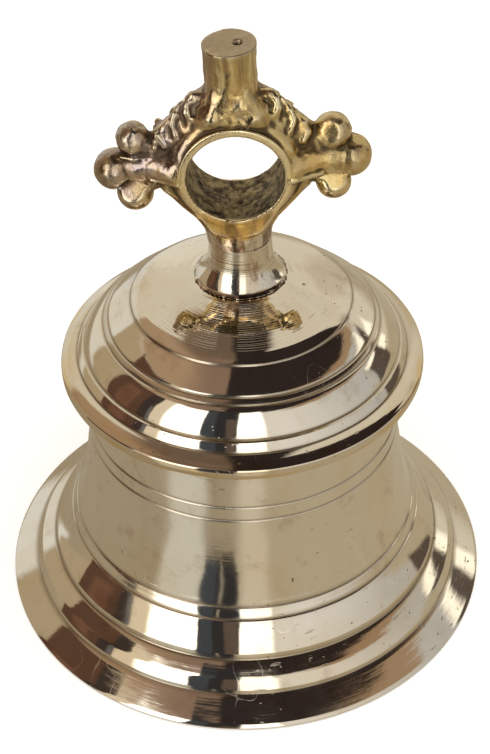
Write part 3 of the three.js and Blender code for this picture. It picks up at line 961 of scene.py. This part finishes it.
def make_crown():
    clay = model_crown()
    vertices, faces = clay.surface()
    foot = -RING_HEIGHT - 0.05
    vertices[:, 2] = np.maximum(vertices[:, 2], foot)
    hollow = hollowness(vertices, faces)
    in_hole = np.clip((23.4 - np.hypot(vertices[:, 0], vertices[:, 2])) / 0.6, 0, 1)
    in_hole *= np.abs(vertices[:, 1]) < BOSS_HALF - 0.2
    dressed = np.clip((np.abs(vertices[:, 1]) - 15.9) / 0.4, 0, 1)
    crown = make_object("crown_casting", "_dressed", lean(vertices), faces.tolist(), crown_material(),
                        "bell", sharp=60)
    store(crown, "hollow", hollow)
    store(crown, "in_hole", in_hole)
    store(crown, "dressed", dressed)


def crown_material():
    metal, shader, place = new_metal("crown_brass")
    x, y, z = split(place)
    hollow = attribute(shader, "hollow")
    in_hole = attribute(shader, "in_hole")
    dressed = attribute(shader, "dressed")
    mottle = speckle(place, 70, 5, 0.65)
    fine = speckle(place, 420, 4, 0.6)

    gold = (0.74, 0.51, 0.20)
    olive = (0.60, 0.47, 0.22)
    bronze = (0.38, 0.31, 0.30)
    blotch = ease(mottle, 0.42, 0.66)
    # the left balls and leaves are browner than the rest
    rise = calc("MINIMUM", z - 0.2534, 0.012)
    golden = ease(x - rise, -0.046, -0.014)
    tone = blend(golden, blend(blotch, bronze, (0.6, 0.44, 0.26)), blend(blotch, olive, gold))
    filed = blend(ease(z, 0.256, 0.236), (0.94, 0.76, 0.38), (0.82, 0.53, 0.17))
    tone = blend(dressed * 0.92, tone, filed)
    # brown skin left by the casting, drawn into upright streaks on the post
    skin = speckle(join(x, y, z * 0.25), 110, 6, 0.68)
    tone = blend(ease(skin, 0.48, 0.64, 0.0, 0.7), tone, (0.25, 0.165, 0.095))
    tone = blend(ease(speckle(place, 38, 4), 0.55, 0.7, 0.0, 0.45), tone, (0.34, 0.24, 0.15))
    # painted highlight: the raised parts are made paler
    tone = blend(ease(hollow, -0.1, -0.35, 0.0, 0.55), tone, (0.92, 0.8, 0.56))
    # painted shade: the hollows are darkened, and they are also made rougher further down
    hollow_shade = ease(hollow + fine * 0.12, 0.06, 0.26)
    tone = blend(hollow_shade * 0.88, tone, (0.075, 0.05, 0.03))
    grime = blend(ease(speckle(place, 160, 5, 0.7), 0.36, 0.62), (0.07, 0.05, 0.035), (0.42, 0.33, 0.18))
    tone = blend(in_hole, tone, grime)
    on_post = ease(z, 0.279, 0.291)
    shaded = ease(x, -0.0085, -0.0135) * on_post
    tone = blend(shaded * 0.55, tone, (0.36, 0.27, 0.23))
    # the post was drawn over a file, which left long upright marks
    drawn = speckle(join(x, y, z * 0.1), 330, 4, 0.6)
    marks = ease(drawn, 0.5, 0.62) * on_post
    tone = blend(marks * 0.62, tone, (0.34, 0.24, 0.14))
    light = ease(drawn, 0.46, 0.38) * on_post
    tone = blend(light * 0.5, tone, (0.95, 0.82, 0.55))
    # the neck's pale metal runs up over the crown's foot to a ragged line
    drip = speckle(join(x, y, z * 0.2), 160, 3)
    pale_foot = ease(z + drip * 0.012, 0.2262, 0.2242)
    foot_tone = blend(ease(skin, 0.46, 0.6), (0.8, 0.7, 0.55), (0.3, 0.2, 0.13))
    tone = blend(pale_foot, tone, foot_tone)
    top = ease(z, 0.3128, 0.3136)
    tone = blend(top * 0.8, tone, (0.46, 0.37, 0.26))
    roughness = ease(mottle, 0.35, 0.7, 0.13, 0.32) + hollow_shade * 0.3 + in_hole * 0.35 + top * 0.15

    grain = relief(speckle(place, 900, 3, 0.6), 0.05)
    grain = relief(fine, 0.14, grain)
    grain = relief(speckle(place, 190, 3, 0.5), 0.16, grain)
    grain = relief(drawn * on_post, 0.1, grain)
    finish(shader, tone, roughness, grain)
    return metal


# ---- Clapper and its hanger ----

EYE_WIRE = 3.6
EYE_RADIUS = 10.6              # to the middle of the wire
EYE_HEIGHT = 152.8
PIVOT_HEIGHT = EYE_HEIGHT - EYE_RADIUS
SHACKLE_WIRE = 3
SHACKLE_ARCH = 7.0
PIN_HEIGHT = 130
PIN_RADIUS = 2.8
PIN_END = 15.4
CHEEK_RADIUS = 6
CHEEK_INNER = 4.3
CHEEK_OUTER = 10.2
COTTER_PLACE = 13.2
ROD_RADIUS = 3.8
ROD_EYE_RADIUS = 7
ROD_END = 2.4
BALL_RADIUS = 22
BALL_HEIGHT = 30.5
BALL_FLAT = 7.5
BALL_HALF = math.sqrt(BALL_RADIUS ** 2 - BALL_FLAT ** 2)


def hoop(z0, ring, wire, axis):
    """A ring of round wire about the X or Y axis, with its centre on the Z axis."""
    def distance(x, y, z):
        side, depth = (y, x) if axis == "X" else (x, y)
        return np.hypot(np.hypot(side, z - z0) - ring, depth) - wire
    reach = np.array((ring + wire, ring + wire, ring + wire))
    centre = np.array((0, 0, z0))
    return distance, centre - reach, centre + reach


def bar_y(radius, near, far, z0, edge=0.3):
    """A round bar along Y with slightly rounded ends."""
    def distance(x, y, z):
        side = np.hypot(x, z - z0) - radius + edge
        end = np.abs(y - (near + far) / 2) - (far - near) / 2 + edge
        return rounded(side, end, edge)
    return distance, (-radius, near, z0 - radius), (radius, far, z0 + radius)


def thread(radius, pitch, depth, low, high):
    """An upright screw thread between two heights, cut depth deep into a bar of a radius."""
    def distance(x, y, z):
        turn = z / pitch - np.arctan2(y, x) / (2 * math.pi)
        groove = 2 * np.abs(turn - np.floor(turn) - 0.5) * depth
        side = (np.hypot(x, y) - radius + groove) * 0.8
        return np.maximum(side, np.maximum(z - high, low - z))
    return distance, (-radius, -radius, low), (radius, radius, high)


def hexagon(flats, low, high):
    """A six-sided nut with chamfered corners."""
    middle, half = (low + high) / 2, (high - low) / 2

    def distance(x, y, z):
        sides = [np.abs(x * math.cos(a) + y * math.sin(a)) for a in np.radians((0, 60, 120))]
        side = np.maximum(np.maximum(sides[0], sides[1]), sides[2]) - flats / 2
        end = np.abs(z - middle) - half
        chamfer = (np.hypot(x, y) - 0.49 * flats + 1.73 * end) * 0.5
        return np.maximum(np.maximum(side, end), chamfer)
    reach = flats * 0.6
    return distance, (-reach, -reach, low), (reach, reach, high)


def clay_piece(clay, node, metal, body, sharp=40):
    vertices, faces = clay.surface()
    make_object(node, "_fine", vertices, faces.tolist(), metal, body, sharp)


def turned_piece(node, section, segments, metal, body, rounding, lay_along_y=False):
    vertices, faces = turn_mesh(round_corners(section, rounding), segments)
    if lay_along_y:
        vertices = np.stack([vertices[:, 0], vertices[:, 2], PIN_HEIGHT - vertices[:, 1]], 1)
    make_object(node, "_fine", vertices, faces, metal, body)


def ring_section(bore, radius, foot, thick):
    return [(bore, foot), (radius, foot), (radius, foot + thick), (bore, foot + thick)]


def make_hanger(steel, iron):
    eyebolt = Clay((-16, -8, 137), (16, 8, 226), 0.4)
    eyebolt.add(spindle([(161.5, 3.4), (164.5, 5.2), (167, 6.0), (171, 6.0)]))
    eyebolt.add(thread(BOLT_RADIUS, 1.75, 0.8, 167.5, BOLT_TIP), 0.2)
    eyebolt.add(hoop(EYE_HEIGHT, EYE_RADIUS, EYE_WIRE, "Y"), 1.6)
    eyebolt.roughen(0.10, 2.6, 21, lambda x, y, z: z < 165)
    clay_piece(eyebolt, "clapper_eyebolt", steel, "bell")

    washer_foot = DOME_INNER_HEIGHT - GAP - 2.2
    turned_piece("crown_washer", ring_section(6.3, 14, washer_foot, 2.2), 72, steel, "bell", 0.5)
    nut = Clay((-12, -12, 166), (12, 12, 181), 0.35)
    nut.add(hexagon(19, washer_foot - GAP - 10, washer_foot - GAP))
    nut.cut(thread(BOLT_RADIUS + 1.1, 1.75, 0.8, 160, 190))
    clay_piece(nut, "crown_nut", steel, "bell", 30)

    shackle = Clay((-8, -12, 122), (8, 12, 154), 0.34)
    shackle.add(hoop(PIVOT_HEIGHT, SHACKLE_ARCH, SHACKLE_WIRE, "X"))
    shackle.cut(bar_y(20, -4.4, 4.4, 122.2))
    for side in (-1, 1):
        shackle.add(rod((0, side * SHACKLE_ARCH, 142.2), (0, side * SHACKLE_ARCH, 132), 3.0, 3.0), 0.2)
        ends = sorted((side * CHEEK_INNER, side * CHEEK_OUTER))
        shackle.add(bar_y(CHEEK_RADIUS, ends[0], ends[1], PIN_HEIGHT, 0.8), 1.0)
    shackle.roughen(0.09, 2.8, 22, lambda x, y, z: 1)
    shackle.cut(bar_y(ROD_EYE_RADIUS + 1, -CHEEK_INNER, CHEEK_INNER, PIN_HEIGHT))
    shackle.cut(bar_y(PIN_RADIUS + GAP, -20, 20, PIN_HEIGHT))
    clay_piece(shackle, "clapper_shackle", iron, "shackle")

    head = -CHEEK_OUTER - GAP
    pin = [(0.01, head - 2.4), (4.2, head - 2.4), (5, head - 1.6), (5, head), (PIN_RADIUS, head),
           (PIN_RADIUS, PIN_END - 0.6), (PIN_RADIUS - 0.6, PIN_END), (0.01, PIN_END)]
    turned_piece("shackle_pin", pin, 48, steel, "shackle", 0.3, True)
    foot = CHEEK_OUTER + GAP
    turned_piece("pin_washer", ring_section(3.1, 5.2, foot, 1), 48, steel, "shackle", 0.2, True)
    make_cotter(steel)


def make_cotter(steel):
    """A split pin: one wire, up through the pin, round in a loop and down again, ends spread."""
    reach = PIN_RADIUS + 2
    ring, wire, sides = 2.2, 0.44, 10
    leg = [(-1.9, -reach - 1.2), (-0.7, -reach + 0.6), (-0.42, -reach + 1.8), (-0.42, 2.0), (-0.42, reach)]
    route = leg + arc((0, reach + ring), ring, -101, -439, 29) + [(-x, z) for x, z in leg[::-1]]
    points = np.array([(x, COTTER_PLACE, PIN_HEIGHT + z) for x, z in route])
    along = np.gradient(points, axis=0)
    along /= np.linalg.norm(along, axis=1)[:, None]
    depth = np.array((0, 1, 0))
    side = np.cross(along, depth)
    angles = np.linspace(0, 2 * math.pi, sides, endpoint=False)[None, :, None]
    vertices = points[:, None] + wire * (np.cos(angles) * side[:, None] + np.sin(angles) * depth)
    count = len(points)
    faces = [(i * sides + j, (i + 1) * sides + j, (i + 1) * sides + (j + 1) % sides,
              i * sides + (j + 1) % sides) for i in range(count - 1) for j in range(sides)]
    faces += [tuple(range(sides)), tuple(range((count - 1) * sides, count * sides))[::-1]]
    make_object("pin_cotter", "_fine", vertices.reshape(-1, 3), faces, steel, "shackle")


def make_clapper(steel, iron):
    collar_foot = BALL_HEIGHT + BALL_HALF + GAP
    bar = Clay((-9, -9, 1), (9, 9, 139), 0.42)
    bar.add(spindle([(9, ROD_RADIUS), (140 - 9, ROD_RADIUS)]))
    bar.add(spindle([(collar_foot, 7), (collar_foot + 2.5, 7), (collar_foot + 4, 4)]), 0.5)
    bar.add(bar_y(ROD_EYE_RADIUS, -ROD_RADIUS, ROD_RADIUS, PIN_HEIGHT, 1.0), 1.2)
    bar.roughen(0.12, 3.0, 23, lambda x, y, z: np.clip((z - 56) / 4, 0, 1))
    bar.add(thread(ROD_RADIUS, 1.25, 0.6, ROD_END, 10))
    bar.cut(bar_y(PIN_RADIUS + GAP, -20, 20, PIN_HEIGHT))
    clay_piece(bar, "clapper_rod", iron, "clapper")

    bore = ROD_RADIUS + GAP
    tilt = math.degrees(math.asin(BALL_HALF / BALL_RADIUS))
    round_part = arc((0, BALL_HEIGHT), BALL_RADIUS, -tilt, tilt, 44)
    section = [(bore, BALL_HEIGHT - BALL_HALF), *round_part, (bore, BALL_HEIGHT + BALL_HALF)]
    turned_piece("clapper_ball", section, 96, ball_material(), "clapper", 0.6)
    washer_foot = BALL_HEIGHT - BALL_HALF - GAP - 1
    turned_piece("ball_washer", ring_section(bore, 7, washer_foot, 1), 56, steel, "clapper", 0.25)
    nut = Clay((-7.5, -7.5, 2), (7.5, 7.5, 10), 0.3)
    nut.add(hexagon(11, washer_foot - GAP - 4, washer_foot - GAP))
    nut.cut(thread(ROD_RADIUS + 0.9, 1.25, 0.6, 0, 12))
    clay_piece(nut, "ball_nut", steel, "clapper", 30)


def steel_material():
    metal, shader, place = new_metal("bright_steel")
    mottle = speckle(place, 130, 5, 0.6)
    tone = blend(ease(mottle, 0.4, 0.66), (0.54, 0.53, 0.5), (0.36, 0.34, 0.31))
    spots = ease(speckle(place, 420, 3, 0.6), 0.62, 0.7, 0.0, 0.6)
    tone = blend(spots, tone, (0.2, 0.12, 0.07))
    finish(shader, tone, ease(mottle, 0.35, 0.7, 0.22, 0.45), relief(speckle(place, 700, 3), 0.04))
    return metal


def iron_material():
    metal, shader, place = new_metal("forged_iron")
    mottle = speckle(place, 95, 6, 0.65)
    rust = ease(mottle, 0.5, 0.66)
    tone = blend(ease(speckle(place, 300, 4), 0.4, 0.62), (0.115, 0.105, 0.1), (0.22, 0.2, 0.18))
    tone = blend(rust * 0.75, tone, (0.23, 0.105, 0.045))
    feed(1.0 - rust * 0.8, shader.inputs["Metallic"])
    rough = relief(speckle(place, 380, 5, 0.65), 0.12)
    finish(shader, tone, ease(mottle, 0.4, 0.7, 0.42, 0.75), rough)
    return metal


def ball_material():
    metal, shader, place = new_metal("clapper_brass")
    z = split(place)[2]
    mottle = speckle(place, 60, 5, 0.6)
    tone = blend(ease(mottle, 0.42, 0.68), (0.74, 0.58, 0.3), (0.5, 0.36, 0.17))
    # a bright belt where the ball strikes the sound bow
    belt = ease(z, 0.017, 0.024) * ease(z, 0.045, 0.038)
    worn = belt * ease(speckle(place, 90, 4), 0.42, 0.58)
    tone = blend(worn, tone, (0.9, 0.76, 0.46))
    rough = relief(speckle(place, 260, 4), 0.05, relief(bands(z, 2600.0, 2.0), 0.02))
    finish(shader, tone, ease(mottle, 0.35, 0.7, 0.22, 0.42) - worn * 0.12, rough)
    return metal


make_camera()
make_room()
make_floor_and_light()
make_shell()
make_neck()
make_crown()
steel = steel_material()
iron = iron_material()
make_hanger(steel, iron)
make_clapper(steel, iron)
